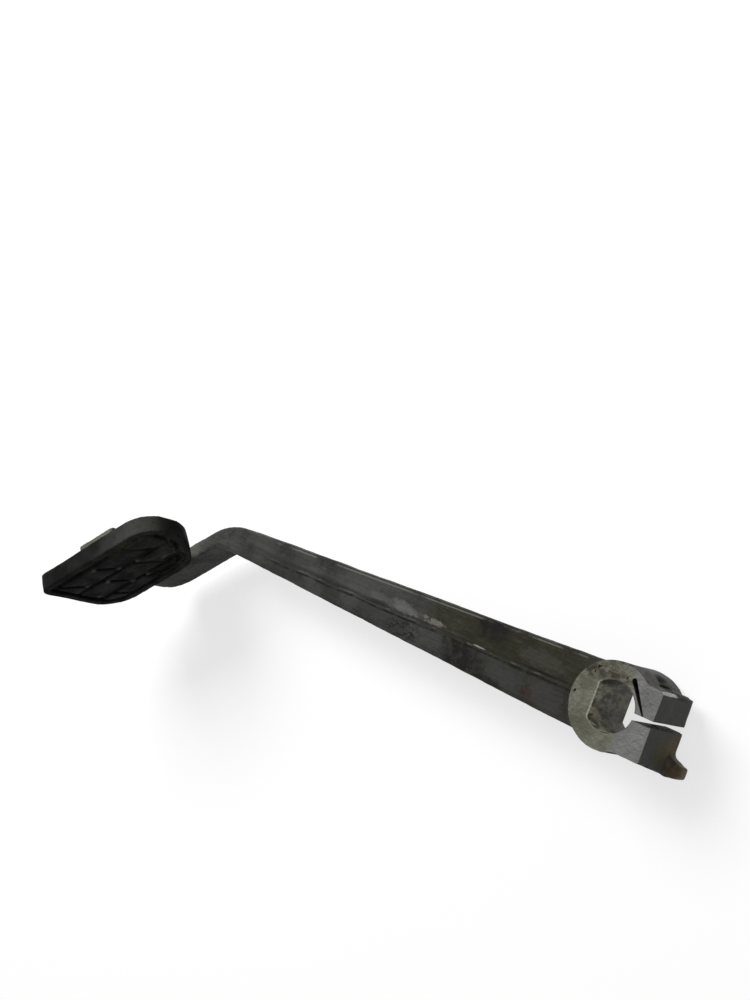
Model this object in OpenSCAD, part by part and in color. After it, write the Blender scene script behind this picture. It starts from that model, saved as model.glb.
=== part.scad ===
/* [Clamp boss] */
// Diameter of the shaft bore
bore_d = 25.4; // [20:0.1:30]
// Distance from the bore axis to the flat on the arm side of the bore
bore_flat = 9.2; // [7:0.1:11]
// Outer diameter of the boss ring
boss_d = 44; // [40:0.5:52]
// Depth of the boss along the shaft
boss_h = 40; // [36:0.5:50]
// Distance from the bore axis to the end face of the jaws
jaw_reach = 23.4; // [22.8:0.1:30]
// Height of the upper jaw above the bore axis
jaw_top = 16.5; // [13:0.5:19]
// Height of the upper jaw's outer corner above the shaft end of the boss
jaw_top_start = 7.5; // [4:0.5:12]
// Depth of the lower jaw below the bore axis at the machined face
jaw_bottom = 19.3; // [16:0.1:20]
// Depth of the lower jaw below the bore axis at its other end
jaw_bottom_far = 23.6; // [22.4:0.1:25]
// Distance from the shaft end of the boss at which the jaws start
jaw_start = 2.5; // [1:0.5:6]
// Width of the slit between the jaws
slit_w = 3.4; // [2:0.1:5]
// Cut at the long outer corner of the upper jaw
jaw_chamfer = 1.8; // [0.5:0.1:3]

/* [Pinch bolt] */
// Diameter of the hole for the pinch bolt
bolt_hole_d = 8.4; // [6:0.1:8.8]
// Diameter of the spot face under the bolt head
spot_face_d = 15; // [10:0.5:20]
// Distance from the bore axis to the bolt axis
bolt_offset = 18; // [17:0.1:18.6]

/* [Relief slot] */
// Width of the relief slot at its round end
relief_w = 2.6; // [1:0.1:3.2]
// Width of the relief slot where it runs out into the slit
relief_tip_w = 0.7; // [0.4:0.1:1.2]
// Depth of the relief slot below the machined face
relief_depth = 13; // [4:0.5:14]
// Distance from the bore to the point where the slot runs out into the slit
relief_run = 5.3; // [4.5:0.1:6]
// Direction of the round end, measured from the slit
relief_angle = 64.5; // [58:0.5:68]

/* [Stop lug] */
// Distance by which the lug stands out from the end face of the lower jaw
lug_reach = 8.6; // [5:0.1:12]
// Height of the lug at its tip
lug_h = 7.8; // [5:0.1:10]
// Rise of the lug's lower face from the jaw to its tip
lug_rise = 2; // [0:0.1:4]
// Depth of the lug along the shaft
lug_depth = 8; // [5:0.5:14]
// Radius of the fillet above the lug
lug_fillet = 3; // [1:0.5:4]

/* [Arm] */
// Distance from the bore axis to the inner corner of the bend
arm_len = 288; // [200:1:360]
// Height of the arm's top edge above the bore axis at the boss
arm_root_top = 19.4; // [15:0.1:21]
// Depth of the arm's bottom edge below the bore axis at the boss
arm_root_bottom = 18.3; // [14:0.1:20]
// Height of the arm's top edge above the bore axis at the bend
arm_end_top = 6.2; // [5:0.1:12]
// Depth of the arm's bottom edge below the bore axis at the bend
arm_end_bottom = 9.8; // [8:0.1:13]
// Thickness of the arm along the shaft
arm_t = 16; // [12:0.5:20]
// Distance from the machined face of the boss to the arm
arm_inset = 3; // [1:0.5:8]
// Fall of the forged faces from the parting line to the arm's edges
draft_fall = 2.2; // [0.5:0.1:3]
// Width of the trimmed flash where it meets the boss
flash_w = 2.4; // [1:0.1:4]
// Height of the trimmed flash
flash_h = 0.5; // [0.2:0.1:1]

/* [Bend and stem] */
// Angle by which the stem turns down from the arm
bend_angle = 42.4; // [30:0.1:55]
// Outer radius of the bend
bend_outer_r = 40; // [20:1:46]
// Inner radius of the bend
bend_inner_r = 9; // [2:0.5:12]
// Thickness of the stem
stem_t = 9.3; // [7:0.1:11]
// Width of the stem along the shaft
stem_w = 24.5; // [20:0.5:30]
// Distance over which the arm widens into the stem
flare_len = 24; // [15:1:40]
// Distance from the inner corner of the bend to the tip of the pad
stem_len = 93; // [88:1:110]

/* [Foot] */
// Width of the cross leg where it ends behind the pad
leg_w = 31; // [20:1:36]
// Distance from the tip of the pad to the cross leg
leg_start = 36; // [30:1:40]
// Slant of the cross leg's lower edge from one end to the other
leg_slant = 7; // [0:0.5:8]
// Radius of the outer corner where stem and cross leg meet
leg_corner_r = 14; // [6:1:18]
// Thickness that the cross leg reaches at the pad's edge away from the stem
leg_end_t = 10.4; // [9.6:0.1:13]
// Step by which the cross leg stands out from the stem on its front and on its back
leg_step = 0.3; // [0.1:0.1:0.8]
// Thickness of the foot plate inside the pad
plate_t = 4; // [3:0.5:6]

/* [Rubber pad] */
// Length of the pad
pad_len = 98.3; // [96:0.1:101]
// Length of the pad's edge beside the stem
pad_short = 73.5; // [71:0.5:77]
// Lean of the pad's upper edge beside the stem
pad_lean = 39.5; // [37:0.5:43]
// Radius of the pad's upper corner beside the stem
pad_side_r = 24; // [12:1:34]
// Radius of the pad's rounded top
pad_round_r = 28; // [20:1:32]
// Radius of the pad's upper corner away from the stem
pad_top_r = 16; // [10:1:19]
// Radius of the pad's lower corner beside the stem
pad_tip_r = 20; // [10:1:24]
// Radius of the pad's lower corner away from the stem
pad_corner_r = 8; // [5:1:16]
// Width of the pad
pad_w = 63; // [58:1:70]
// Thickness of the pad over its rim
pad_t = 10.8; // [10.6:0.1:14]
// Gap between the stem and the edge of the pad
pad_offset = 2.5; // [1:0.5:6]
// Thickness of rubber in front of the foot plate
pad_front_t = 5; // [4:0.1:6]
// Thickness of the pad's side wall
pad_wall = 4; // [3:0.1:5]
// Width of the lip that hooks behind the foot plate
lip_w = 6; // [3:0.5:9]
// Clearance between the foot and the rubber round it
pad_gap = 0.2; // [0.1:0.1:0.5]
// Width of the raised rim round the tread
rim_w = 5; // [3:0.5:7]
// Depth of the grooves in the tread
tread_depth = 2.2; // [1:0.1:3]
// Width of the grooves in the tread
groove_w = 2.8; // [2:0.1:4]
// Distance between the tread's long grooves
row_pitch = 18.7; // [14:0.1:26]
// Distance from the pad's edge beside the stem to the first long groove
row_start = 18.5; // [12:0.5:20]
// Length of the tread blocks
block_len = 25.7; // [14:0.1:32]
// Shift of the tread blocks from one row to the next
block_shift = 10.2; // [0:0.1:14]
// Slant of the ends of the tread blocks
block_slant = 31.5; // [0:0.5:35]

/* [Hidden] */
$fn = 96;

// Smallest radius of an inner corner
min_r = 1;

// Cuts reach this far past the faces that they open
over = 1;

// The arm lies between these two heights and the stem widens downwards from them
arm_z1 = boss_h - arm_inset;
arm_z0 = arm_z1 - arm_t;
stem_z0 = arm_z1 - stem_w;

// Height of the pad's edges along the shaft
pad_z0 = arm_z1 + pad_offset;
pad_z1 = pad_z0 + pad_w;

// Inner corner of the bend, and the foot's own origin at the pad's tip on the tread side
inner_corner = [-arm_len, -arm_end_bottom];
along = [cos(bend_angle), sin(bend_angle)];
front = [sin(bend_angle), -cos(bend_angle)];
foot_origin = inner_corner - stem_len * along + pad_front_t * front;

// Tread rows run along the pad, and their blocks stop at the rim
row_count = ceil((pad_w - row_start) / row_pitch) + 1;
block_count = ceil(pad_len / (block_len + groove_w)) + 2;

// Points of an arc
function arc(c, r, a0, a1, n) =
    [for (i = [0:n]) c + r * [cos(a0 + (a1 - a0) * i / n), sin(a0 + (a1 - a0) * i / n)]];

// Turn from one direction to another, between -180 and 180 degrees
function turn(a) = a > 180 ? a - 360 : a < -180 ? a + 360 : a;

// Point at a distance r from both edges that meet in the corner p between a and b
function corner_centre(a, p, b, r) =
    let (d1 = (a - p) / norm(a - p), d2 = (b - p) / norm(b - p))
    p + (d1 + d2) / norm(d1 + d2) * r / sin(acos(d1 * d2) / 2);

// Arc that rounds the corner p between its neighbours a and b
function round_corner(a, p, b, r, n) =
    let (d1 = (a - p) / norm(a - p), d2 = (b - p) / norm(b - p))
    let (c = corner_centre(a, p, b, r), t = r / tan(acos(d1 * d2) / 2))
    let (s = p + d1 * t - c, e = p + d2 * t - c)
    let (a0 = atan2(s[1], s[0]))
    arc(c, r, a0, a0 + turn(atan2(e[1], e[0]) - a0), n);

// Outline whose corners are rounded, each by its own radius
function rounded(p, r, n = 12) =
    let (k = len(p))
    [for (i = [0:k - 1])
        each r[i] > 0 ? round_corner(p[(i + k - 1) % k], p[i], p[(i + 1) % k], r[i], n) : [p[i]]];

// Corners of the pad, [distance along the pad, height along the shaft], and their radii
pad_corners = [
    [0, pad_z0],
    [pad_short, pad_z0],
    [pad_len, pad_z0 + (pad_len - pad_short) / tan(pad_lean)],
    [pad_len, pad_z1],
    [0, pad_z1]
];
pad_radii = [pad_tip_r, pad_side_r, pad_round_r, pad_top_r, pad_corner_r];

// Outline of the pad, moved inwards by a distance
function pad_outline(inset) =
    let (k = len(pad_corners))
    rounded(
        [for (i = [0:k - 1])
            corner_centre(pad_corners[(i + k - 1) % k], pad_corners[i], pad_corners[(i + 1) % k], inset)],
        [for (r = pad_radii) max(r - inset, min_r)]);

// Places a shape in the foot: x runs up the pad, y runs back from the tread, z along the shaft
module in_foot() {
    translate([foot_origin[0], foot_origin[1], 0])
        rotate([0, 0, bend_angle])
            children();
}

// Raises an outline of the foot between two depths behind the tread
module foot_slab(d0, d1) {
    translate([0, d1, 0])
        rotate([90, 0, 0])
            linear_extrude(d1 - d0)
                children();
}

// Side view of the arm: a long taper, the bend and the stem
module arm_plan() {
    top_slope = (arm_root_top - arm_end_top) / arm_len;
    stem_end = foot_origin + (leg_start + leg_w / 2) * along;
    stem_front = stem_end - (pad_front_t + leg_step) * front;
    stem_back = stem_end - (pad_front_t + stem_t - leg_step) * front;
    corner_x = (stem_back[1] - arm_root_top - tan(bend_angle) * stem_back[0])
        / (top_slope - tan(bend_angle));
    outer_corner = [corner_x, arm_root_top + top_slope * corner_x];
    polygon(rounded(
        [[0, arm_root_top], outer_corner, stem_back, stem_front, inner_corner,
            [0, -arm_root_bottom]],
        [0, bend_outer_r, 0, 0, bend_inner_r, 0]));
}

// Top view of the arm: it keeps its thickness up to the bend and then widens into the stem
module arm_top_view() {
    steps = 12;
    flare_x = -arm_len + flare_len;
    polygon([
        [0, arm_z1],
        [0, arm_z0],
        for (i = [0:steps])
            [flare_x - flare_len * i / steps,
                arm_z0 + (stem_z0 - arm_z0) * (1 - cos(180 * i / steps)) / 2],
        [-arm_len - stem_len, stem_z0],
        [-arm_len - stem_len, arm_z1]
    ]);
}

// What the draft of the forging takes off one half of the arm's machined side: a flat cut
// from the parting line to the edge, which runs out where the arm starts to widen
module draft_cut(root, end) {
    straight = arm_len - flare_len;
    edge = end + (root - end) * (flare_len + over) / arm_len;
    slope = draft_fall / root;
    intersection() {
        translate([0, 0, arm_z1])
            rotate([-atan(slope), atan(slope * edge / (straight - over)), 0])
                translate([-arm_len, 0, 0])
                    cube([2 * arm_len, boss_d, arm_t]);
        translate([-straight, -over, arm_z0])
            cube([straight + boss_d, 2 * boss_d, 2 * arm_t]);
    }
}

// The same on both halves and on both sides
module draft_cuts() {
    for (far = [0, 1])
        translate([0, 0, far * (arm_z0 + arm_z1)])
            mirror([0, 0, far]) {
                draft_cut(arm_root_top, arm_end_top);
                mirror([0, 1, 0])
                    draft_cut(arm_root_bottom, arm_end_bottom);
            }
}

// Flash left along the parting line, wider towards the boss
module flash() {
    flare_x = -arm_len + flare_len;
    translate([0, 0, arm_z0 - flash_h])
        linear_extrude(arm_t + 2 * flash_h)
            polygon([
                [-boss_d / 3, flash_w / 2], [flare_x, flash_w / 6],
                [flare_x, -flash_w / 6], [-boss_d / 3, -flash_w / 2]
            ]);
}

module arm() {
    difference() {
        intersection() {
            translate([0, 0, stem_z0])
                linear_extrude(stem_w)
                    arm_plan();
            translate([0, boss_d, 0])
                rotate([90, 0, 0])
                    linear_extrude(2 * arm_len)
                        arm_top_view();
        }
        draft_cuts();
    }
    flash();
}

// Outline of the cross leg behind the pad, with the rounded outer corner under the stem
module leg_outline() {
    end_z = pad_z1 - pad_wall;
    low = leg_start - leg_slant;
    polygon(rounded(
        [[leg_start + leg_w + leg_corner_r, stem_z0], [leg_start + leg_w + leg_corner_r, arm_z1],
            [leg_start + leg_w, arm_z1], [leg_start + leg_w, end_z], [leg_start, end_z],
            [low, arm_z1], [low, stem_z0]],
        [0, 0, 0, 3, 3, 0, leg_corner_r]));
}

// Cross leg, which thickens towards its end, and foot plate, forged in one with the stem
module foot() {
    back = pad_front_t + stem_t;
    in_foot() {
        foot_slab(pad_front_t, back)
            leg_outline();
        intersection() {
            foot_slab(back - over, pad_front_t + leg_end_t)
                leg_outline();
            rotate([90, 0, 90])
                linear_extrude(pad_len)
                    polygon([
                        [0, pad_z0], [back - over / 2, pad_z0], [pad_front_t + leg_end_t, pad_z1],
                        [0, pad_z1]
                    ]);
        }
        foot_slab(pad_front_t, pad_front_t + plate_t)
            polygon(pad_outline(pad_wall));
    }
}

// The two clamp jaws in one block: the side view cuts the block that the end view gives
module jaws() {
    intersection() {
        linear_extrude(boss_h)
            polygon([
                [0, -boss_d / 2], [jaw_reach, -jaw_bottom_far], [jaw_reach, jaw_top - jaw_chamfer],
                [jaw_reach - jaw_chamfer, jaw_top], [0, jaw_top]
            ]);
        rotate([90, 0, 90])
            linear_extrude(jaw_reach)
                polygon([
                    [-jaw_bottom, boss_h], [-jaw_bottom_far, jaw_start], [0, jaw_start],
                    [jaw_top, jaw_top_start], [jaw_top, boss_h]
                ]);
    }
}

// Lug at the foot of the lower jaw, with a fillet above it
module stop_lug() {
    root = jaw_reach - lug_fillet;
    tip = jaw_reach + lug_reach;
    low = lug_rise - jaw_bottom_far;
    top = low + lug_h;
    linear_extrude(lug_depth)
        polygon(concat(
            rounded([[jaw_reach, -jaw_bottom_far], [tip, low], [tip, top]], [0, min_r, min_r]),
            arc([jaw_reach + lug_fillet, top + lug_fillet], lug_fillet, 270, 180, 8),
            [[root, top + lug_fillet], [root, -jaw_bottom]]));
}

// Ring round the shaft with the two clamp jaws and the stop lug on the lower one
module boss_blank() {
    cylinder(d = boss_d, h = boss_h);
    jaws();
    translate([0, 0, jaw_start])
        stop_lug();
}

// Shaft bore with its flat
module bore() {
    translate([0, 0, -over])
        difference() {
            cylinder(d = bore_d, h = boss_h + 2 * over);
            translate([-bore_d, -bore_d, -over])
                cube([bore_d - bore_flat, 2 * bore_d, boss_h + 4 * over]);
        }
}

module slit() {
    translate([0, -slit_w / 2, -over])
        cube([jaw_reach + over, slit_w, boss_h + 2 * over]);
}

// Tapered slot beside the bore, open on the machined face and into the slit
module relief_slot() {
    start = (bore_d + boss_d) / 4 * [cos(relief_angle), sin(relief_angle)];
    end = [bore_d / 2 + relief_run, slit_w / 4];
    across = [start[1] - end[1], end[0] - start[0]] / norm(start - end);
    translate([0, 0, boss_h - relief_depth]) {
        translate([start[0], start[1], 0])
            cylinder(d = relief_w, h = relief_depth + over);
        linear_extrude(relief_depth + over)
            polygon([
                start + across * relief_w / 2, start - across * relief_w / 2,
                end - across * relief_tip_w / 2, end + across * relief_tip_w / 2
            ]);
    }
}

// Hole for the pinch bolt, square to the slit, with a spot face on the upper jaw
module bolt_hole() {
    translate([bolt_offset, 0, boss_h / 2])
        rotate([-90, 0, 0]) {
            translate([0, 0, -jaw_bottom_far - over])
                cylinder(d = bolt_hole_d, h = jaw_bottom_far + jaw_top + 2 * over);
            translate([0, 0, jaw_top])
                cylinder(d = spot_face_d, h = boss_d);
        }
}

module lever() {
    color("dimgray")
        difference() {
            union() {
                boss_blank();
                arm();
                foot();
            }
            bore();
            slit();
            relief_slot();
            bolt_hole();
        }
}

// Tops of the tread blocks, in rows that run along the pad, with slanting gaps between them
module block_tops() {
    height = row_pitch - groove_w;
    lean = tan(block_slant) * height;
    intersection() {
        polygon(pad_outline(rim_w + groove_w));
        for (row = [0:row_count - 1], k = [0:block_count - 1])
            translate([
                (k - 1) * (block_len + groove_w) + row * block_shift + groove_w / 2,
                pad_z0 + row_start + groove_w / 2 + (row - 1) * row_pitch
            ])
                polygon([
                    [0, 0], [block_len, 0], [block_len - lean, height], [-lean, height]
                ]);
    }
}

// Grooves of the tread: everything inside the rim but the blocks
module tread_grooves() {
    foot_slab(-over, tread_depth)
        difference() {
            polygon(pad_outline(rim_w));
            block_tops();
        }
}

// Opening in the pad's side walls for the cross leg and the stem's edge
module leg_opening() {
    low = leg_start - leg_slant - pad_gap;
    high = leg_start + leg_w + pad_gap;
    end_z = pad_z1 - pad_wall + pad_gap;
    polygon([[low, pad_z0 - over], [high, pad_z0 - over], [high, end_z], [low, end_z]]);
}

// Hollow in the pad that takes the foot plate and the cross leg
module foot_hollow() {
    foot_slab(pad_front_t, pad_front_t + plate_t) {
        polygon(pad_outline(pad_wall - pad_gap));
        leg_opening();
    }
    foot_slab(pad_front_t + plate_t / 2, pad_t + over) {
        polygon(pad_outline(pad_wall + lip_w));
        leg_opening();
    }
}

module tread_pad() {
    color("#26272a")
        in_foot()
            difference() {
                foot_slab(0, pad_t)
                    polygon(pad_outline(0));
                tread_grooves();
                foot_hollow();
            }
}

lever();
tread_pad();
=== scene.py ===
import math

import bmesh
import bpy
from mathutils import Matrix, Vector, noise


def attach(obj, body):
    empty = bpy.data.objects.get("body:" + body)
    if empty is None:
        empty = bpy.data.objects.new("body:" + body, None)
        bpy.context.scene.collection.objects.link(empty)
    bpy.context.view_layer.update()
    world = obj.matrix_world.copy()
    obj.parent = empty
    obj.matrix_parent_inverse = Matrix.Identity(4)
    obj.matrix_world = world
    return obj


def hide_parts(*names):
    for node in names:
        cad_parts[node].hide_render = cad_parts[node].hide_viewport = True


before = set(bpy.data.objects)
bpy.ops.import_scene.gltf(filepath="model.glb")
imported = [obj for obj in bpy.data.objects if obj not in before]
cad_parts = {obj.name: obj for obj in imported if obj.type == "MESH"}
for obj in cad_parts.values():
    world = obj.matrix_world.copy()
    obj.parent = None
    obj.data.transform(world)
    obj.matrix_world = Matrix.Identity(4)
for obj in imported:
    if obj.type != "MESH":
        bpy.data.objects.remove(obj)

scene = bpy.context.scene
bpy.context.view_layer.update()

# ---- Camera ----
# The pedal is seen from above its machined side and a little from the clamp's end, so that
# the clamp face, the arm and the tread of the pad all show.
photo_camera = bpy.data.objects.new("photo_camera", bpy.data.cameras.new("photo_camera"))
photo_camera.data.sensor_width = 36
photo_camera.data.lens = 43.2
photo_camera.location = (0.25325, 0.05472, 0.56372)
photo_camera.rotation_euler = [math.radians(angle) for angle in (15.935, 36.621, 25.994)]
scene.collection.objects.link(photo_camera)
scene.camera = photo_camera
scene.view_settings.view_transform = "Standard"


# ---- Table and daylight ----
# The pedal lies on a plain white table under soft studio lamps. The table takes its shadow,
# and the camera and the bare metal see a white room round it.
def node_at(tree, kind, **settings):
    made = tree.nodes.new(kind)
    for setting, value in settings.items():
        setattr(made, setting, value)
    return made


def seen_directly(tree):
    path = node_at(tree, "ShaderNodeLightPath")
    first = node_at(tree, "ShaderNodeMath", operation="MAXIMUM")
    both = node_at(tree, "ShaderNodeMath", operation="MAXIMUM")
    tree.links.new(path.outputs["Is Camera Ray"], first.inputs[0])
    tree.links.new(path.outputs["Is Glossy Ray"], first.inputs[1])
    tree.links.new(first.outputs[0], both.inputs[0])
    tree.links.new(path.outputs["Is Transmission Ray"], both.inputs[1])
    return both.outputs[0]


table_height = -0.0012
table_mesh = bpy.data.meshes.new("table")
reach = 4.0
table_mesh.from_pydata(
    [(-reach, -reach, table_height), (reach, -reach, table_height),
     (reach, reach, table_height), (-reach, reach, table_height)], [], [(0, 1, 2, 3)])
table = bpy.data.objects.new("table", table_mesh)
scene.collection.objects.link(table)
white_table = bpy.data.materials.new("white_table")
white_table.use_nodes = True
tree = white_table.node_tree
shader = tree.nodes["Principled BSDF"]
shader.inputs["Base Color"].default_value = (0.36, 0.36, 0.36, 1)
shader.inputs["Roughness"].default_value = 0.9
shader.inputs["Specular IOR Level"].default_value = 0.1
glow = node_at(tree, "ShaderNodeEmission")
tree.links.new(seen_directly(tree), glow.inputs["Strength"])
glow.inputs["Color"].default_value = (0.70, 0.70, 0.70, 1)
added = node_at(tree, "ShaderNodeAddShader")
tree.links.new(shader.outputs[0], added.inputs[0])
tree.links.new(glow.outputs[0], added.inputs[1])
tree.links.new(added.outputs[0], tree.nodes["Material Output"].inputs["Surface"])
table_mesh.materials.append(white_table)

room = bpy.data.worlds.new("white_room")
scene.world = room
room.use_nodes = True
tree = room.node_tree
sky = tree.nodes["Background"]
sky.inputs["Color"].default_value = (1, 1, 1, 1)
level = node_at(tree, "ShaderNodeMapRange")
level.inputs["To Min"].default_value = 0.22
level.inputs["To Max"].default_value = 1.0
tree.links.new(seen_directly(tree), level.inputs["Value"])
tree.links.new(level.outputs["Result"], sky.inputs["Strength"])


def soft_lamp(name, place, aim, size, power):
    lamp = bpy.data.objects.new(name, bpy.data.lights.new(name, "AREA"))
    lamp.data.size = size
    lamp.data.energy = power
    lamp.location = place
    lamp.rotation_euler = (Vector(aim) - Vector(place)).to_track_quat("-Z", "Y").to_euler()
    scene.collection.objects.link(lamp)


soft_lamp("window_lamp", (-0.95, 0.75, 1.25), (-0.15, 0, 0.03), 0.9, 26)
soft_lamp("fill_lamp", (0.55, -0.45, 1.1), (-0.15, 0, 0.03), 1.1, 1.2)


# ---- Forged lever ----
# Drop-forged steel: boss with its clamp jaws, arm, bent stem, cross leg and foot plate in
# one piece. The blank has the scale, the soft edges and the waviness of a forging; the
# clamp is then faced, bored, slit and drilled, which leaves crisp bright edges.
mm = 0.001
bore_radius, bore_flat = 12.7 * mm, 9.2 * mm
boss_radius, boss_height = 22 * mm, 40 * mm
jaw_reach, jaw_top, jaw_bottom, jaw_chamfer = 23.4 * mm, 16.5 * mm, 19.3 * mm, 1.8 * mm
slit_width = 3.4 * mm
bolt_place, bolt_radius, spot_radius = 18 * mm, 4.2 * mm, 7.5 * mm


def linked(name, mesh):
    made = bpy.data.objects.new(name, mesh)
    scene.collection.objects.link(made)
    return made


def merged_copy(node, name):
    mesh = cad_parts[node].data.copy()
    mesh.name = name
    mesh.materials.clear()
    shape = bmesh.new()
    shape.from_mesh(mesh)
    bmesh.ops.remove_doubles(shape, verts=shape.verts, dist=1e-6)
    shape.to_mesh(mesh)
    shape.free()
    return linked(name, mesh)


def settled(piece):
    graph = bpy.context.evaluated_depsgraph_get()
    graph.update()
    mesh = bpy.data.meshes.new_from_object(piece.evaluated_get(graph))
    piece.modifiers.clear()
    old = piece.data
    piece.data = mesh
    bpy.data.meshes.remove(old)


def lofted(name, rings):
    """A closed solid through rings of points that all have the same count."""
    shape = bmesh.new()
    rows = [[shape.verts.new(point) for point in ring] for ring in rings]
    count = len(rows[0])
    for low, high in zip(rows, rows[1:]):
        for i in range(count):
            j = (i + 1) % count
            shape.faces.new((low[i], low[j], high[j], high[i]))
    shape.faces.new(list(reversed(rows[0])))
    shape.faces.new(rows[-1])
    bmesh.ops.recalc_face_normals(shape, faces=shape.faces)
    mesh = bpy.data.meshes.new(name)
    shape.to_mesh(mesh)
    shape.free()
    return linked(name, mesh)


def upright(name, outline, low, high):
    return lofted(name, [[(x, y, z) for x, y in outline] for z in (low, high)])


def block(name, low, high):
    return upright(name, [(low[0], low[1]), (high[0], low[1]), (high[0], high[1]), (low[0], high[1])],
                   low[2], high[2])


def circle(centre, radius, count=96):
    return [(centre[0] + radius * math.cos(math.tau * i / count),
             centre[1] + radius * math.sin(math.tau * i / count)) for i in range(count)]


def combine(piece, tool, operation):
    change = piece.modifiers.new("change", "BOOLEAN")
    change.operation = operation
    change.solver = "MANIFOLD"
    change.object = tool
    settled(piece)
    bpy.data.objects.remove(tool)


def bored(grow):
    """Outline of the shaft bore with its flat, moved outwards by a distance."""
    radius, flat = bore_radius + grow, bore_flat + grow
    start = math.acos(-flat / radius)
    return [(radius * math.cos(start * (1 - i / 45)), radius * math.sin(start * (1 - i / 45)))
            for i in range(91)]


lever = merged_copy("lever", "forged_lever")
machining = 1.2 * mm
combine(lever, upright("plug", circle((0, 0), 20 * mm), 0.3 * mm, 39 * mm), "UNION")
combine(lever, block("jaw_core", (8 * mm, -18 * mm, 4 * mm), (23 * mm, 15.5 * mm, 39 * mm)), "UNION")
combine(lever, upright("boss_top", circle((0, 0), boss_radius), 36 * mm, boss_height + machining), "UNION")
combine(lever, upright("jaw_top_stock", [
    (8 * mm, -jaw_bottom), (jaw_reach, -jaw_bottom), (jaw_reach, jaw_top), (8 * mm, jaw_top)],
    30 * mm, boss_height + machining), "UNION")

skin = lever.modifiers.new("skin", "REMESH")
skin.mode = "VOXEL"
skin.voxel_size = 0.85 * mm
skin.adaptivity = 0
soften = lever.modifiers.new("soften", "SMOOTH")
soften.factor = 0.5
soften.iterations = 6
settled(lever)


def parting_line(x):
    """Height of the trimmed flash along the arm, on its broad faces."""
    return (0.9 + 16 * x) * mm + noise.noise(Vector((x * 60, 4, 2))) * 0.9 * mm


def hammered(point, normal):
    """How far the forged skin lies under its true shape at a point, in metres."""
    wave = noise.noise(point * 38) * 0.28
    lump = noise.noise(point * 140 + Vector((3, 1, 7))) * 0.15
    grit = noise.noise(point * 420 + Vector((9, 4, 2))) * 0.08
    depth = 0.14 + wave + lump + grit
    if abs(normal.z) > 0.8 and -0.245 < point.x < -0.021:
        step = (point.y - parting_line(point.x)) / mm
        depth += 0.34 * math.exp(-(step / 0.8) ** 2) - 0.22 * math.exp(-((step - 1.6) / 0.9) ** 2)
    pit = point / mm - Vector((9.0, 20.1, 17))
    depth += 2.3 * math.exp(-(pit.x ** 2 + pit.y ** 2) / 5.5 - (pit.z / 4.6) ** 4)
    nick = point / mm - Vector((8.1, -20.2, 38))
    depth += 1.0 * math.exp(-(nick.x / 2.2) ** 2 - (nick.y / 2) ** 2 - (nick.z / 4) ** 2)
    if point.z > 39 * mm and point.x < 4 * mm and point.y > -4 * mm:
        depth += 4.5 * max(noise.noise(point * 420 + Vector((2, 8, 1))) - 0.30, 0)
    return max(depth, 0) * mm


lean = math.radians(42.4)
up_pad = Vector((math.cos(lean), math.sin(lean), 0))
out_of_tread = Vector((math.sin(lean), -math.cos(lean), 0))
pad_foot = Vector((-288 * mm, -9.8 * mm, 0)) - 93 * mm * up_pad + 5 * mm * out_of_tread
for vertex, normal in zip(lever.data.vertices, [v.normal.copy() for v in lever.data.vertices]):
    vertex.co -= normal * hammered(vertex.co, normal)
    swell = min(max((vertex.co.z - 45 * mm) / (45 * mm), 0), 1)
    if (vertex.co - pad_foot).dot(out_of_tread) < -12 * mm and swell > 0:
        vertex.co -= out_of_tread * swell * 1.3 * mm

wide = 60 * mm
combine(lever, block("facing", (-wide, -wide, boss_height), (wide, wide, boss_height + wide)), "DIFFERENCE")
combine(lever, lofted("bore", [
    [(x, y, z) for x, y in bored(grow)]
    for z, grow in ((-1.5 * mm, 2.2 * mm), (0.7 * mm, 0), (boss_height - 0.6 * mm, 0),
                    (boss_height + 1.2 * mm, 1.8 * mm))]), "DIFFERENCE")
combine(lever, block("saw_slit", (0, -slit_width / 2, -wide), (wide, slit_width / 2, wide)), "DIFFERENCE")
combine(lever, upright("jaw_corner", [
    (jaw_reach - jaw_chamfer - 3 * mm, jaw_top + 3 * mm), (jaw_reach - jaw_chamfer, jaw_top),
    (jaw_reach, jaw_top - jaw_chamfer), (jaw_reach + 3 * mm, jaw_top - jaw_chamfer - 3 * mm),
    (jaw_reach + 3 * mm, jaw_top + 3 * mm)], 12 * mm, 50 * mm), "DIFFERENCE")
hole = Vector((7.47 * mm, 15.66 * mm))
run_out = Vector((18 * mm, 0.85 * mm))
across = (run_out - hole).orthogonal().normalized()
turn = math.atan2(across.y, across.x)
round_end = [hole + 1.3 * mm * Vector((math.cos(turn + math.pi * i / 16), math.sin(turn + math.pi * i / 16)))
             for i in range(17)]
if (round_end[8] - run_out).length < (hole - run_out).length:
    round_end = [2 * hole - point for point in round_end]
    across = -across
slot_outline = round_end + [run_out - across * 0.35 * mm, run_out + across * 0.35 * mm]
combine(lever, upright("relief_slot", [tuple(p) for p in slot_outline], 27 * mm, boss_height + machining),
        "DIFFERENCE")
combine(lever, lofted("bolt_hole", [
    [(x, y, z) for x, z in circle((bolt_place, boss_height / 2), bolt_radius, 48)]
    for y in (-30 * mm, 30 * mm)]), "DIFFERENCE")
combine(lever, lofted("spot_face", [
    [(x, y, z) for x, z in circle((bolt_place, boss_height / 2), spot_radius, 64)]
    for y in (jaw_top, 30 * mm)]), "DIFFERENCE")
lever.data.shade_smooth()
lever.data.set_sharp_from_angle(angle=math.radians(38))


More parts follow.
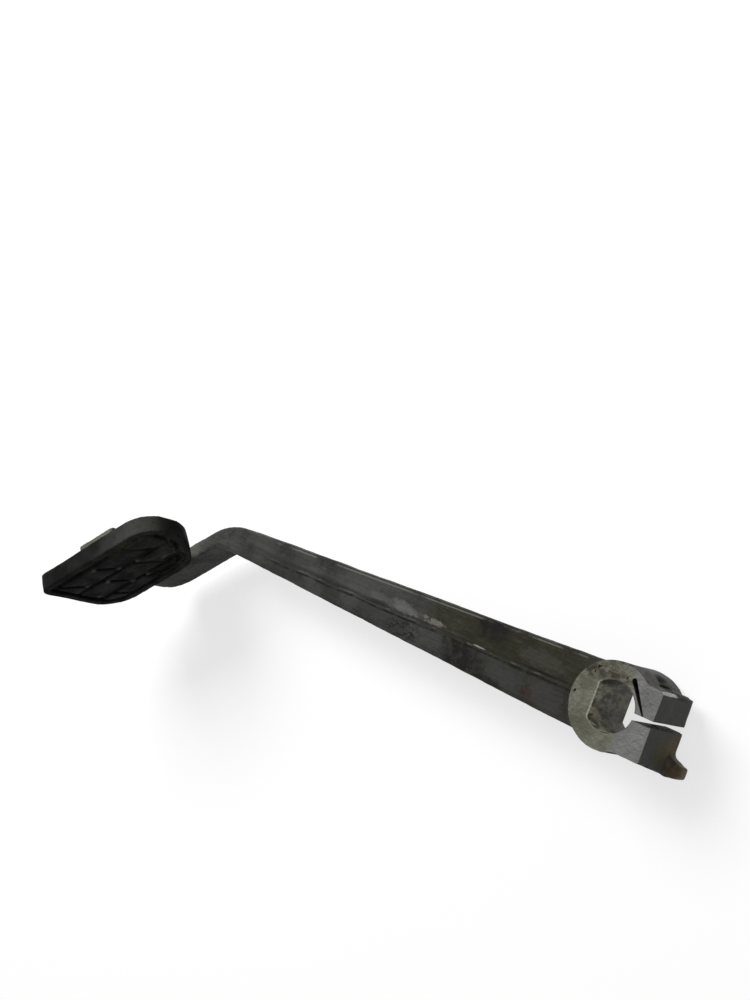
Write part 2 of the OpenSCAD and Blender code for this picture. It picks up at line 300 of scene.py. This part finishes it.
# The finishes of the steel: grey scale with olive grease, bare machined faces, rust.
# The forged skin also carries painted shade and a painted reflection, marked where they are made.
def shader_group(name, inputs, outputs):
    group = bpy.data.node_groups.new(name, "ShaderNodeTree")
    for label, kind, value in inputs:
        socket = group.interface.new_socket(label, in_out="INPUT", socket_type=kind)
        if value is not None:
            socket.default_value = value
    for label in outputs:
        group.interface.new_socket(label, in_out="OUTPUT", socket_type="NodeSocketFloat")
    return group, node_at(group, "NodeGroupInput"), node_at(group, "NodeGroupOutput")


def grouped_noise(group, size, place, detail, rough):
    scale = node_at(group, "ShaderNodeMath", operation="DIVIDE")
    scale.inputs[0].default_value = 1
    group.links.new(size, scale.inputs[1])
    pattern = node_at(group, "ShaderNodeTexNoise")
    pattern.inputs["Detail"].default_value = detail
    pattern.inputs["Roughness"].default_value = rough
    group.links.new(place, pattern.inputs["Vector"])
    group.links.new(scale.outputs[0], pattern.inputs["Scale"])
    return pattern.outputs


# Wear masks for every finish: wide patches, small flecks, and flecks drawn out to streaks
weather, start, end = shader_group("weathering", [
    ("Place", "NodeSocketVector", None), ("Patch Size", "NodeSocketFloat", 0.03),
    ("Fleck Size", "NodeSocketFloat", 0.002), ("Stretch", "NodeSocketVector", (1, 1, 1))],
    ["Patches", "Flecks", "Streaks"])
drawn = node_at(weather, "ShaderNodeVectorMath", operation="DIVIDE")
weather.links.new(start.outputs["Place"], drawn.inputs[0])
weather.links.new(start.outputs["Stretch"], drawn.inputs[1])
for size, place, detail, rough, mask in (
        ("Patch Size", start.outputs["Place"], 5, 0.6, "Patches"),
        ("Fleck Size", start.outputs["Place"], 3, 0.7, "Flecks"),
        ("Fleck Size", drawn.outputs[0], 4, 0.6, "Streaks")):
    weather.links.new(grouped_noise(weather, start.outputs[size], place, detail, rough)[0], end.inputs[mask])

# A spot with a ragged edge: 1 inside an ellipsoid round a centre, 0 outside
ragged, start, end = shader_group("ragged_spot", [
    ("Place", "NodeSocketVector", None), ("Centre", "NodeSocketVector", None),
    ("Size", "NodeSocketVector", (0.01, 0.01, 0.01)), ("Raggedness", "NodeSocketFloat", 0.6),
    ("Grain", "NodeSocketFloat", 0.004), ("Softness", "NodeSocketFloat", 0.5)], ["Mask"])
colours = grouped_noise(ragged, start.outputs["Grain"], start.outputs["Place"], 3, 0.6)
offset = node_at(ragged, "ShaderNodeVectorMath", operation="SUBTRACT")
offset.inputs[1].default_value = (0.5, 0.5, 0.5)
ragged.links.new(colours[1], offset.inputs[0])
push = node_at(ragged, "ShaderNodeVectorMath", operation="SCALE")
ragged.links.new(offset.outputs[0], push.inputs[0])
ragged.links.new(start.outputs["Raggedness"], push.inputs["Scale"])
away = node_at(ragged, "ShaderNodeVectorMath", operation="SUBTRACT")
ragged.links.new(start.outputs["Place"], away.inputs[0])
ragged.links.new(start.outputs["Centre"], away.inputs[1])
share = node_at(ragged, "ShaderNodeVectorMath", operation="DIVIDE")
ragged.links.new(away.outputs[0], share.inputs[0])
ragged.links.new(start.outputs["Size"], share.inputs[1])
moved = node_at(ragged, "ShaderNodeVectorMath", operation="ADD")
ragged.links.new(share.outputs[0], moved.inputs[0])
ragged.links.new(push.outputs[0], moved.inputs[1])
length = node_at(ragged, "ShaderNodeVectorMath", operation="LENGTH")
ragged.links.new(moved.outputs[0], length.inputs[0])
inner = node_at(ragged, "ShaderNodeMath", operation="SUBTRACT")
inner.inputs[0].default_value = 1
ragged.links.new(start.outputs["Softness"], inner.inputs[1])
edge = node_at(ragged, "ShaderNodeMapRange", interpolation_type="SMOOTHSTEP")
edge.inputs["To Min"].default_value = 1
edge.inputs["To Max"].default_value = 0
ragged.links.new(length.outputs["Value"], edge.inputs["Value"])
ragged.links.new(inner.outputs[0], edge.inputs["From Min"])
edge.inputs["From Max"].default_value = 1
ragged.links.new(edge.outputs["Result"], end.inputs["Mask"])


class Finish:
    """A finish under construction: short ways to place and join its nodes."""

    def __init__(self, name):
        self.material = bpy.data.materials.new(name)
        self.material.use_nodes = True
        self.tree = self.material.node_tree
        self.shader = self.tree.nodes["Principled BSDF"]
        self.place = node_at(self.tree, "ShaderNodeTexCoord").outputs["Object"]

    def join(self, value, socket):
        if isinstance(value, bpy.types.NodeSocket):
            self.tree.links.new(value, socket)
        else:
            socket.default_value = value

    def weather(self, patch, fleck, stretch=(1, 1, 1)):
        made = node_at(self.tree, "ShaderNodeGroup", node_tree=weather)
        self.join(self.place, made.inputs["Place"])
        made.inputs["Patch Size"].default_value = patch
        made.inputs["Fleck Size"].default_value = fleck
        made.inputs["Stretch"].default_value = stretch
        return made.outputs["Patches"], made.outputs["Flecks"], made.outputs["Streaks"]

    def spot(self, centre, size, ragged_by=0.6, grain=4, soft=0.5):
        """Ragged spot, with its centre, size and grain in millimetres."""
        made = node_at(self.tree, "ShaderNodeGroup", node_tree=ragged)
        self.join(self.place, made.inputs["Place"])
        made.inputs["Centre"].default_value = [value * mm for value in centre]
        made.inputs["Size"].default_value = [value * mm for value in size]
        made.inputs["Raggedness"].default_value = ragged_by
        made.inputs["Grain"].default_value = grain * mm
        made.inputs["Softness"].default_value = soft
        return made.outputs["Mask"]

    def math(self, operation, first, second=0.0, third=0.0):
        made = node_at(self.tree, "ShaderNodeMath", operation=operation)
        for value, socket in zip((first, second, third), made.inputs):
            self.join(value, socket)
        return made.outputs[0]

    def times(self, *masks):
        product = masks[0]
        for mask in masks[1:]:
            product = self.math("MULTIPLY", product, mask)
        return product

    def ramp(self, value, low, high, bottom=0.0, top=1.0):
        made = node_at(self.tree, "ShaderNodeMapRange", interpolation_type="SMOOTHSTEP")
        for name, number in (("Value", value), ("From Min", low), ("From Max", high),
                             ("To Min", bottom), ("To Max", top)):
            self.join(number, made.inputs[name])
        return made.outputs["Result"]

    def mix(self, share, first, second):
        made = node_at(self.tree, "ShaderNodeMix", data_type="RGBA")
        self.join(share, made.inputs["Factor"])
        for value, socket in ((first, made.inputs[6]), (second, made.inputs[7])):
            self.join(value if isinstance(value, bpy.types.NodeSocket) else (*value, 1), socket)
        return made.outputs[2]

    def axes(self):
        made = node_at(self.tree, "ShaderNodeSeparateXYZ")
        self.join(self.place, made.inputs[0])
        return made.outputs["X"], made.outputs["Y"], made.outputs["Z"]

    def bump(self, height, depth, normal=None):
        made = node_at(self.tree, "ShaderNodeBump")
        made.inputs["Distance"].default_value = depth
        self.join(height, made.inputs["Height"])
        if normal is not None:
            self.join(normal, made.inputs["Normal"])
        return made.outputs[0]

    def facing(self):
        made = node_at(self.tree, "ShaderNodeNewGeometry")
        parts = node_at(self.tree, "ShaderNodeSeparateXYZ")
        self.join(made.outputs["Normal"], parts.inputs[0])
        return made.outputs["Pointiness"], parts.outputs

    def done(self, colour, roughness, normal, metallic=0.0, gloss=0.5):
        self.join(colour, self.shader.inputs["Base Color"])
        self.join(roughness, self.shader.inputs["Roughness"])
        self.join(normal, self.shader.inputs["Normal"])
        self.join(metallic, self.shader.inputs["Metallic"])
        self.join(gloss, self.shader.inputs["Specular IOR Level"])
        return self.material


scale = Finish("forged_skin")
patches, flecks, streaks = scale.weather(0.020, 0.0015, (9, 1, 1))
clouds, grit, scratches = scale.weather(0.006, 0.0006, (3, 1, 12))
pointed, faces = scale.facing()
x, y, z = scale.axes()
patchy = scale.ramp(patches, 0.38, 0.62)
colour = scale.mix(patchy, (0.028, 0.0285, 0.026), (0.050, 0.051, 0.047))
near_bend = scale.times(scale.ramp(x, -0.300, -0.240, 0.8, 0.0), scale.ramp(streaks, 0.40, 0.65, 0.3, 1.0))
colour = scale.mix(near_bend, colour, (0.056, 0.057, 0.052))
middle = scale.times(scale.ramp(x, -0.130, -0.112), scale.ramp(x, -0.024, -0.012, 1.0, 0.0))
olive = scale.times(middle, scale.ramp(y, -0.003, 0.002, 0.35, 1.0), scale.ramp(clouds, 0.32, 0.60, 0.65, 1.0))
colour = scale.mix(olive, colour, (0.0185, 0.0165, 0.0065))
colour = scale.mix(scale.ramp(streaks, 0.54, 0.72, 0.0, 0.45), colour, (0.064, 0.064, 0.056))
colour = scale.mix(scale.ramp(clouds, 0.55, 0.72, 0.0, 0.6), colour, (0.012, 0.012, 0.010))
for centre, size, shade, strength in (
        ((-77, 12, 36), (13, 9, 9), (0.006, 0.0045, 0.005), 0.95),
        ((-90, -9, 36), (19, 9, 9), (0.006, 0.0045, 0.005), 0.95),
        ((-61, -9, 36), (14, 7, 9), (0.048, 0.050, 0.049), 0.7),
        ((-45, 7, 36), (17, 6, 9), (0.050, 0.049, 0.040), 0.7),
        ((-24, 13, 36), (10, 7, 9), (0.030, 0.030, 0.018), 0.6),
        ((-47, -11, 36), (4.5, 4, 9), (0.036, 0.015, 0.014), 0.8),
        ((-34, -10, 36), (13, 9, 9), (0.050, 0.047, 0.045), 0.7),
        ((-70, -15, 36), (14, 4, 9), (0.008, 0.007, 0.006), 0.8),
        ((-172, 3, 37), (38, 4, 4), (0.066, 0.068, 0.063), 0.6),
        ((-136, 2.2, 37), (14, 4.2, 4), (0.120, 0.117, 0.115), 0.95),
        ((-155, 2.4, 37), (10, 2.4, 4), (0.085, 0.085, 0.079), 0.8),
        ((-112, -8, 37), (17, 6, 4), (0.056, 0.056, 0.053), 0.7),
        ((-152, -6, 36), (34, 6, 9), (0.056, 0.058, 0.055), 0.5)):
    spot = scale.times(scale.spot(centre, size, 1.2, 3), scale.ramp(clouds, 0.35, 0.55, 0.5, 1.0))
    colour = scale.mix(scale.math("MULTIPLY", spot, strength), colour, shade)
scuffs = scale.ramp(scale.math("ABSOLUTE", scale.math("SUBTRACT", clouds, 0.5)), 0.010, 0.034, 1.0, 0.0)
scuffed = scale.spot((-131, -9, 37), (14, 7, 5), 0.8, 4)
colour = scale.mix(scale.times(scuffs, scuffed), colour, (0.003, 0.003, 0.003))
chips = scale.times(scale.spot((-116, 1.8, 37), (13, 2.2, 4), 1.3, 3, 0.4), scale.ramp(clouds, 0.44, 0.54))
colour = scale.mix(scale.times(chips, scale.ramp(grit, 0.35, 0.55, 0.4, 1.0)), colour, (0.150, 0.146, 0.118))
colour = scale.mix(scale.spot((-81, -0.2, 37), (4.5, 0.5, 3), 0.5, 1.5, 0.3), colour, (0.34, 0.33, 0.31))
wobble = scale.math("MULTIPLY_ADD", patches, 0.0020, -0.0019)
line = scale.math("SUBTRACT", y, scale.math("MULTIPLY_ADD", x, 0.016, wobble))
on_arm = scale.times(scale.ramp(x, -0.250, -0.235), scale.ramp(x, -0.024, -0.020, 1.0, 0.0))
seam = scale.ramp(scale.math("ABSOLUTE", line), 0.0002, 0.0010, 0.9, 0.0)
colour = scale.mix(scale.times(seam, on_arm, scale.ramp(clouds, 0.36, 0.52, 0.35, 1.0)), colour, (0.003, 0.003, 0.002))
lip = scale.ramp(scale.math("ABSOLUTE", scale.math("SUBTRACT", line, 0.0014)), 0.0002, 0.0007, 0.6, 0.0)
colour = scale.mix(scale.times(lip, on_arm, scale.ramp(clouds, 0.50, 0.62)), colour, (0.105, 0.104, 0.090))
second = scale.ramp(scale.math("ABSOLUTE", scale.math("SUBTRACT", line, 0.0028)), 0.0003, 0.0009, 0.85, 0.0)
colour = scale.mix(scale.times(second, scale.ramp(x, -0.058, -0.050), on_arm), colour, (0.004, 0.004, 0.003))
edge = scale.math("SUBTRACT", y, scale.math("MULTIPLY_ADD", x, 0.0462, 0.01915))
# Pale line along the arm's top edge: edge wear and painted highlight.
bright_edge = scale.ramp(scale.math("ABSOLUTE", scale.math("ADD", edge, 0.0013)), 0.0002, 0.0006, 0.75, 0.0)
colour = scale.mix(scale.times(scale.ramp(edge, -0.0008, -0.0003), on_arm), colour, (0.007, 0.007, 0.006))
colour = scale.mix(scale.times(bright_edge, on_arm, scale.ramp(patches, 0.42, 0.55)), colour, (0.150, 0.148, 0.135))
worn = scale.times(scale.ramp(pointed, 0.525, 0.565), scale.ramp(grit, 0.32, 0.58, 0.3, 1.0),
                   scale.ramp(clouds, 0.40, 0.60, 0.2, 1.0), scale.ramp(faces["Z"], -0.2, 0.5, 0.3, 1.0))
colour = scale.mix(worn, colour, (0.20, 0.195, 0.175))
# Darker in the concave creases (low pointiness): grime and painted shade.
colour = scale.mix(scale.ramp(pointed, 0.45, 0.485, 0.8, 0.0), colour, (0.005, 0.005, 0.004))
# Painted shade: the stem's faces turned to -Y, close to the pad, are painted dark for the shade they lie in.
stem_front_shade = scale.times(scale.ramp(x, -0.325, -0.288, 0.9, 0.0), scale.ramp(faces["Y"], -0.6, -0.4, 1.0, 0.0))
colour = scale.mix(stem_front_shade, colour, (0.007, 0.0075, 0.007))
rubbed = scale.times(scale.ramp(faces["Z"], 0.7, 0.9), scale.ramp(x, -0.307, -0.293, 1.0, 0.0),
                     scale.ramp(streaks, 0.38, 0.60, 0.4, 1.0))
colour = scale.mix(rubbed, colour, (0.105, 0.103, 0.088))
leg_end = scale.times(scale.ramp(x, -0.335, -0.325, 0.75, 0.0), scale.ramp(faces["Z"], 0.7, 0.9))
colour = scale.mix(leg_end, colour, (0.060, 0.060, 0.054))
for centre, size, shade, strength in (
        ((29, -19, 4), (12, 9, 11), (0.165, 0.128, 0.074), 0.95),
        ((12, 16, 31), (4, 6, 11), (0.080, 0.064, 0.042), 0.8),
        ((19, 17, 10), (10, 8, 11), (0.058, 0.060, 0.046), 0.7),
        # Painted shade: the pit on the ring's top is filled dark.
        ((8.8, 20.2, 16), (3.2, 3.2, 5.5), (0.006, 0.006, 0.004), 1.0),
        # Painted shade: the small nick where the ring meets the lower jaw is filled dark.
        ((8, -20.5, 37), (3, 2, 3), (0.006, 0.006, 0.005), 0.9),
        # Painted shade: a large dark patch on the lever just under the pad.
        ((-329, -47, 30), (17, 17, 18), (0.010, 0.010, 0.007), 0.9),
        ((-305.5, -20, 38), (7, 7, 4), (0.120, 0.119, 0.104), 0.85)):
    colour = scale.mix(scale.math("MULTIPLY", scale.spot(centre, size, 0.7, 3), strength), colour, shade)
# Painted reflection: a near-white glint on the jaw's top corner chamfer, on faces turned to +X and +Y.
bright = scale.times(scale.spot((22.5, 15.6, 35), (6, 4, 13), 0.25, 3, 0.3), scale.ramp(faces["Y"], 0.3, 0.5),
                     scale.ramp(faces["X"], 0.3, 0.5))
colour = scale.mix(bright, colour, (0.9, 0.9, 0.88))
grain = scale.bump(streaks, 0.0005, scale.bump(clouds, 0.0006, scale.bump(grit, 0.0003)))
scale.done(colour, scale.ramp(patches, 0.35, 0.65, 0.64, 0.44), grain, scale.math("MULTIPLY", worn, 0.5), 0.09)

faced = Finish("machined_face")
patches, flecks, streaks = faced.weather(0.009, 0.0012, (1, 1, 1))
clouds, grit, scratches = faced.weather(0.0028, 0.0005, (6, 1, 1))
x, y, z = faced.axes()
colour = faced.mix(faced.ramp(patches, 0.36, 0.64), (0.122, 0.124, 0.120), (0.146, 0.147, 0.143))
ring = faced.ramp(faced.math("MULTIPLY_ADD", patches, 0.006, x), 0.008, 0.013, 1.0, 0.0)
colour = faced.mix(ring, colour, faced.mix(faced.ramp(patches, 0.35, 0.65), (0.080, 0.080, 0.056),
                                           (0.122, 0.122, 0.092)))
for centre, size, shade, strength in (
        ((-6, 17, 40), (15, 7, 4), (0.048, 0.046, 0.031), 0.9),
        ((-12, 12, 40), (7, 4, 4), (0.026, 0.020, 0.012), 0.85),
        ((0, 13.8, 40), (12, 2.4, 4), (0.022, 0.016, 0.009), 0.9),
        ((-17, 14, 40), (6, 5, 4), (0.022, 0.019, 0.011), 0.8),
        ((3, 19.5, 40), (7, 2.4, 4), (0.150, 0.150, 0.128), 0.6),
        ((-19, -3, 40), (4, 9, 4), (0.135, 0.135, 0.108), 0.7),
        ((-14, -14, 40), (6, 6, 4), (0.070, 0.070, 0.054), 0.6)):
    spot = faced.times(faced.spot(centre, size, 1.0, 3), faced.ramp(clouds, 0.38, 0.58, 0.25, 1.0))
    colour = faced.mix(faced.math("MULTIPLY", spot, strength), colour, shade)
specks = faced.times(faced.spot((13, 8, 40), (10, 9, 4), 0.8, 3, 0.5), faced.ramp(flecks, 0.54, 0.60, 0.0, 0.7))
colour = faced.mix(specks, colour, (0.055, 0.055, 0.052))
colour = faced.mix(faced.ramp(flecks, 0.64, 0.74, 0.0, 0.5), colour, (0.070, 0.066, 0.055))
faced.done(colour, faced.ramp(patches, 0.35, 0.65, 0.55, 0.42),
           faced.bump(clouds, 0.0004, faced.bump(flecks, 0.0003)), 0.3, 0.22)

sawn = Finish("sawn_end")
patches, flecks, streaks = sawn.weather(0.012, 0.0009, (1, 1, 1))
x, y, z = sawn.axes()
colour = sawn.mix(sawn.ramp(patches, 0.35, 0.65), (0.050, 0.053, 0.049), (0.060, 0.062, 0.057))
colour = sawn.mix(sawn.ramp(flecks, 0.60, 0.72, 0.0, 0.4), colour, (0.04, 0.04, 0.037))
for centre, size, shade, strength in (
        ((23.4, -11, 20), (4, 12, 12), (0.062, 0.057, 0.024), 0.85),
        ((23.4, -11, 6), (4, 14, 15), (0.125, 0.096, 0.044), 0.95),
        ((23.4, 4, 2), (4, 12, 5), (0.085, 0.080, 0.055), 0.8)):
    colour = sawn.mix(sawn.math("MULTIPLY", sawn.spot(centre, size, 0.8, 5, 0.8), strength), colour, shade)
sawn.done(colour, 0.62, sawn.bump(flecks, 0.0004), 0.0, 0.14)

bored_wall = Finish("bored_wall")
patches, flecks, streaks = bored_wall.weather(0.006, 0.0035, (1, 1, 2.6))
x, y, z = bored_wall.axes()
colour = bored_wall.mix(bored_wall.ramp(patches, 0.40, 0.58), (0.050, 0.046, 0.022), (0.215, 0.206, 0.135))
colour = bored_wall.mix(bored_wall.ramp(streaks, 0.46, 0.60, 0.0, 0.95), colour, (0.58, 0.56, 0.43))
colour = bored_wall.mix(bored_wall.ramp(streaks, 0.36, 0.48, 0.9, 0.0), colour, (0.014, 0.012, 0.006))
colour = bored_wall.mix(bored_wall.spot((-8, 11, 30), (7, 4.5, 16), 0.5, 3), colour, (0.014, 0.012, 0.006))
bored_wall.done(colour, 0.42, bored_wall.bump(streaks, 0.0010), 0.0, 0.25)

bare = Finish("bare_bevel")
patches, flecks, streaks = bare.weather(0.008, 0.0008, (1, 1, 3))
x, y, z = bare.axes()
colour = bare.mix(bare.ramp(streaks, 0.40, 0.62), (0.27, 0.265, 0.22), (0.42, 0.41, 0.355))
colour = bare.mix(bare.ramp(x, -0.0092, -0.0075, 0.0, 0.85), colour, (0.120, 0.118, 0.090))
bare.done(colour, 0.38, bare.bump(flecks, 0.0002), 0.5, 0.5)

lever.data.materials.clear()
for finish in (scale, faced, sawn, bored_wall, bare):
    lever.data.materials.append(finish.material)
for face in lever.data.polygons:
    c, n = face.center, face.normal
    spread = math.hypot(c.x, c.y)
    if n.z > 0.98 and c.z > boss_height - 0.02 * mm:
        face.material_index = 1
    elif n.x > 0.98 and abs(c.x - jaw_reach) < 0.6 * mm and c.z > 2 * mm:
        face.material_index = 2
    elif c.z > boss_height - 0.62 * mm and 0.2 < n.z < 0.9 and spread < 15 * mm:
        face.material_index = 4
    elif spread < bore_radius + 0.05 * mm and c.z < boss_height:
        face.material_index = 3
    elif abs(abs(c.y) - slit_width / 2) < 0.05 * mm and abs(n.y) > 0.98 and c.x > 8 * mm:
        face.material_index = 2
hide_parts("lever")
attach(lever, "root")


# ---- Rubber tread pad ----
# Moulded black rubber cover, stretched over the foot plate with its lip behind it. Its
# blocks are worn round and hollow, with small moulded nubs at their corners, and pale dirt
# has settled in the grooves and along the rim. The nubs carry a painted highlight, and the
# worn hollows painted shade.
def on_pad(along, height, out):
    """Point of the pad: along it from its tip, height along the shaft, out of the tread."""
    return pad_foot + up_pad * along * mm + Vector((0, 0, height * mm)) + out_of_tread * out * mm


pad = merged_copy("tread_pad", "rubber_tread_pad")
nub_places = [(61.4, 76), (48.3, 78.8), (30.4, 72.2), (20.3, 79.7), (11.1, 62.9), (38, 58.6),
              (49.6, 56.1), (39.4, 91.5), (73.5, 64.2)]
seeds = bpy.data.meshes.new("nub_seeds")
seeds.from_pydata([on_pad(along, height, -0.9) for along, height in nub_places], [], [])
nubs = linked("nubs", seeds)
nub_mesh = bpy.data.meshes.new("nub")
shape = bmesh.new()
bmesh.ops.create_icosphere(shape, subdivisions=3, radius=1.5 * mm)
for vertex in shape.verts:
    vertex.co.x *= 1.35
shape.to_mesh(nub_mesh)
shape.free()
nub = linked("nub", nub_mesh)

rubber = Finish("worn_rubber")
grow = bpy.data.node_groups.new("grow_nubs", "GeometryNodeTree")
grow.interface.new_socket("Seeds", in_out="INPUT", socket_type="NodeSocketGeometry")
nub_socket = grow.interface.new_socket("Nub", in_out="INPUT", socket_type="NodeSocketObject")
turn_socket = grow.interface.new_socket("Turn", in_out="INPUT", socket_type="NodeSocketRotation")
size_socket = grow.interface.new_socket("Smallest", in_out="INPUT", socket_type="NodeSocketFloat")
rubber_socket = grow.interface.new_socket("Rubber", in_out="INPUT", socket_type="NodeSocketMaterial")
grow.interface.new_socket("Nubs", in_out="OUTPUT", socket_type="NodeSocketGeometry")
start, end = node_at(grow, "NodeGroupInput"), node_at(grow, "NodeGroupOutput")
shown = node_at(grow, "GeometryNodeObjectInfo")
planted = node_at(grow, "GeometryNodeInstanceOnPoints")
sizes = node_at(grow, "FunctionNodeRandomValue", data_type="FLOAT")
sizes.inputs["Seed"].default_value = 5
real = node_at(grow, "GeometryNodeRealizeInstances")
coated = node_at(grow, "GeometryNodeSetMaterial")
grow.links.new(start.outputs["Seeds"], planted.inputs["Points"])
grow.links.new(start.outputs["Nub"], shown.inputs["Object"])
grow.links.new(shown.outputs["Geometry"], planted.inputs["Instance"])
grow.links.new(start.outputs["Turn"], planted.inputs["Rotation"])
grow.links.new(start.outputs["Smallest"], sizes.inputs[2])
grow.links.new(sizes.outputs[1], planted.inputs["Scale"])
grow.links.new(planted.outputs[0], real.inputs[0])
grow.links.new(real.outputs[0], coated.inputs["Geometry"])
grow.links.new(start.outputs["Rubber"], coated.inputs["Material"])
grow.links.new(coated.outputs[0], end.inputs["Nubs"])
planting = nubs.modifiers.new("grow", "NODES")
planting.node_group = grow
planting[nub_socket.identifier] = nub
planting[turn_socket.identifier] = (0, 0, lean)
planting[size_socket.identifier] = 0.75
planting[rubber_socket.identifier] = rubber.material
settled(nubs)
bpy.data.objects.remove(nub)
combine(pad, nubs, "UNION")

skin = pad.modifiers.new("skin", "REMESH")
skin.mode = "VOXEL"
skin.voxel_size = 0.62 * mm
skin.adaptivity = 0
soften = pad.modifiers.new("soften", "SMOOTH")
soften.factor = 0.5
soften.iterations = 5
settled(pad)


def worn_rubber(point, along, height, out):
    """How far the worn rubber lies under its moulded shape at a point, in metres."""
    depth = 0.12 + noise.noise(point * 45) * 0.35 + noise.noise(point * 160) * 0.14
    if out > -1.5:
        for centre, size, hollow in (((60, 52), (10, 7), 1.7), ((74, 55), (8, 8), 1.7), ((72, 76), (8, 6), 1.1),
                                     ((27, 62), (9, 5), 0.5), ((57, 83), (8, 5), 0.5)):
            far = ((along - centre[0]) / size[0]) ** 2 + ((height - centre[1]) / size[1]) ** 2
            depth += hollow * math.exp(-far ** 2)
    return max(depth, 0) * mm


ridged = pad.data.attributes.new("ridged", "FLOAT", "POINT")
nub_glint = pad.data.attributes.new("nub_glint", "FLOAT", "POINT")
hollow_shade = pad.data.attributes.new("hollow_shade", "FLOAT", "POINT")
dirty = pad.data.attributes.new("dirty", "FLOAT", "POINT")
for vertex, normal in zip(pad.data.vertices, [v.normal.copy() for v in pad.data.vertices]):
    offset = vertex.co - pad_foot
    along, height, out = offset.dot(up_pad) / mm, vertex.co.z / mm, offset.dot(out_of_tread) / mm
    nearest = min(math.hypot((along - a) / 1.3, height - h) for a, h in nub_places)
    nub_glint.data[vertex.index].value = math.exp(-(nearest / 1.3) ** 2) if out > -2.2 else 0
    oval = min(((along - a) / 8) ** 2 + ((height - h) / 6.5) ** 2 for a, h in ((60, 52), (74, 55), (72, 76)))
    hollow_shade.data[vertex.index].value = math.exp(-oval ** 2) if out > -4 else 0
    ridged.data[vertex.index].value = math.exp(-((oval - 1.6) / 0.5) ** 2) if out > -4 else 0
    recess = math.hypot(max(along - 70, 0), max(height - 74, 0)) if along > 40 else 0
    band = math.exp(-((recess - 20.7) / 2.2) ** 2) * math.exp(-((along - 76) / 16) ** 2)
    if not -4.5 < out < -0.5:
        band = 0
    dirty.data[vertex.index].value = band
    vertex.co -= normal * worn_rubber(vertex.co, along, height, out)
pad.data.shade_smooth()


def stored(finish, name):
    made = node_at(finish.tree, "ShaderNodeAttribute", attribute_name=name)
    return made.outputs["Fac"]


patches, flecks, streaks = rubber.weather(0.011, 0.0011, (1, 1, 1))
clouds, grit, scratches = rubber.weather(0.004, 0.0006, (2, 2, 10))
pointed, faces = rubber.facing()
colour = rubber.mix(rubber.ramp(patches, 0.38, 0.62), (0.0026, 0.0031, 0.0030), (0.0058, 0.0064, 0.0060))
x, y, z = rubber.axes()
dusty = rubber.times(rubber.ramp(faces["Z"], -0.2, 0.6), rubber.ramp(patches, 0.25, 0.60, 0.55, 1.0),
                     rubber.ramp(x, -0.324, -0.290, 0.15, 1.0))
colour = rubber.mix(dusty, colour, (0.060, 0.060, 0.054))
colour = rubber.mix(rubber.ramp(pointed, 0.52, 0.57, 0.0, 0.45), colour, (0.030, 0.031, 0.029))
colour = rubber.mix(rubber.ramp(scratches, 0.56, 0.68, 0.0, 0.35), colour, (0.026, 0.026, 0.023))
# Painted shade: darker inside the worn hollows.
colour = rubber.mix(rubber.math("MULTIPLY", stored(rubber, "hollow_shade"), 0.85), colour, (0.0028, 0.0027, 0.0020))
colour = rubber.mix(rubber.times(stored(rubber, "dirty"), rubber.ramp(clouds, 0.34, 0.58, 0.25, 0.95)), colour,
                    (0.075, 0.072, 0.038))
colour = rubber.mix(rubber.times(stored(rubber, "ridged"), rubber.ramp(clouds, 0.40, 0.58, 0.0, 0.8)), colour,
                    (0.030, 0.029, 0.023))
# Painted highlight: the nubs are painted light as glints on the block corners.
colour = rubber.mix(rubber.math("MULTIPLY", stored(rubber, "nub_glint"), 0.85), colour, (0.125, 0.128, 0.122))
# Darker in the concave creases (low pointiness): grime and painted shade.
colour = rubber.mix(rubber.ramp(pointed, 0.44, 0.487, 0.8, 0.0), colour, (0.0012, 0.0012, 0.0012))
rubber.done(colour, rubber.ramp(patches, 0.35, 0.65, 0.8, 0.6),
            rubber.bump(flecks, 0.0005, rubber.bump(clouds, 0.0006)), 0.0, 0.03)
pad.data.materials.clear()
pad.data.materials.append(rubber.material)
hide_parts("tread_pad")
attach(pad, "root")
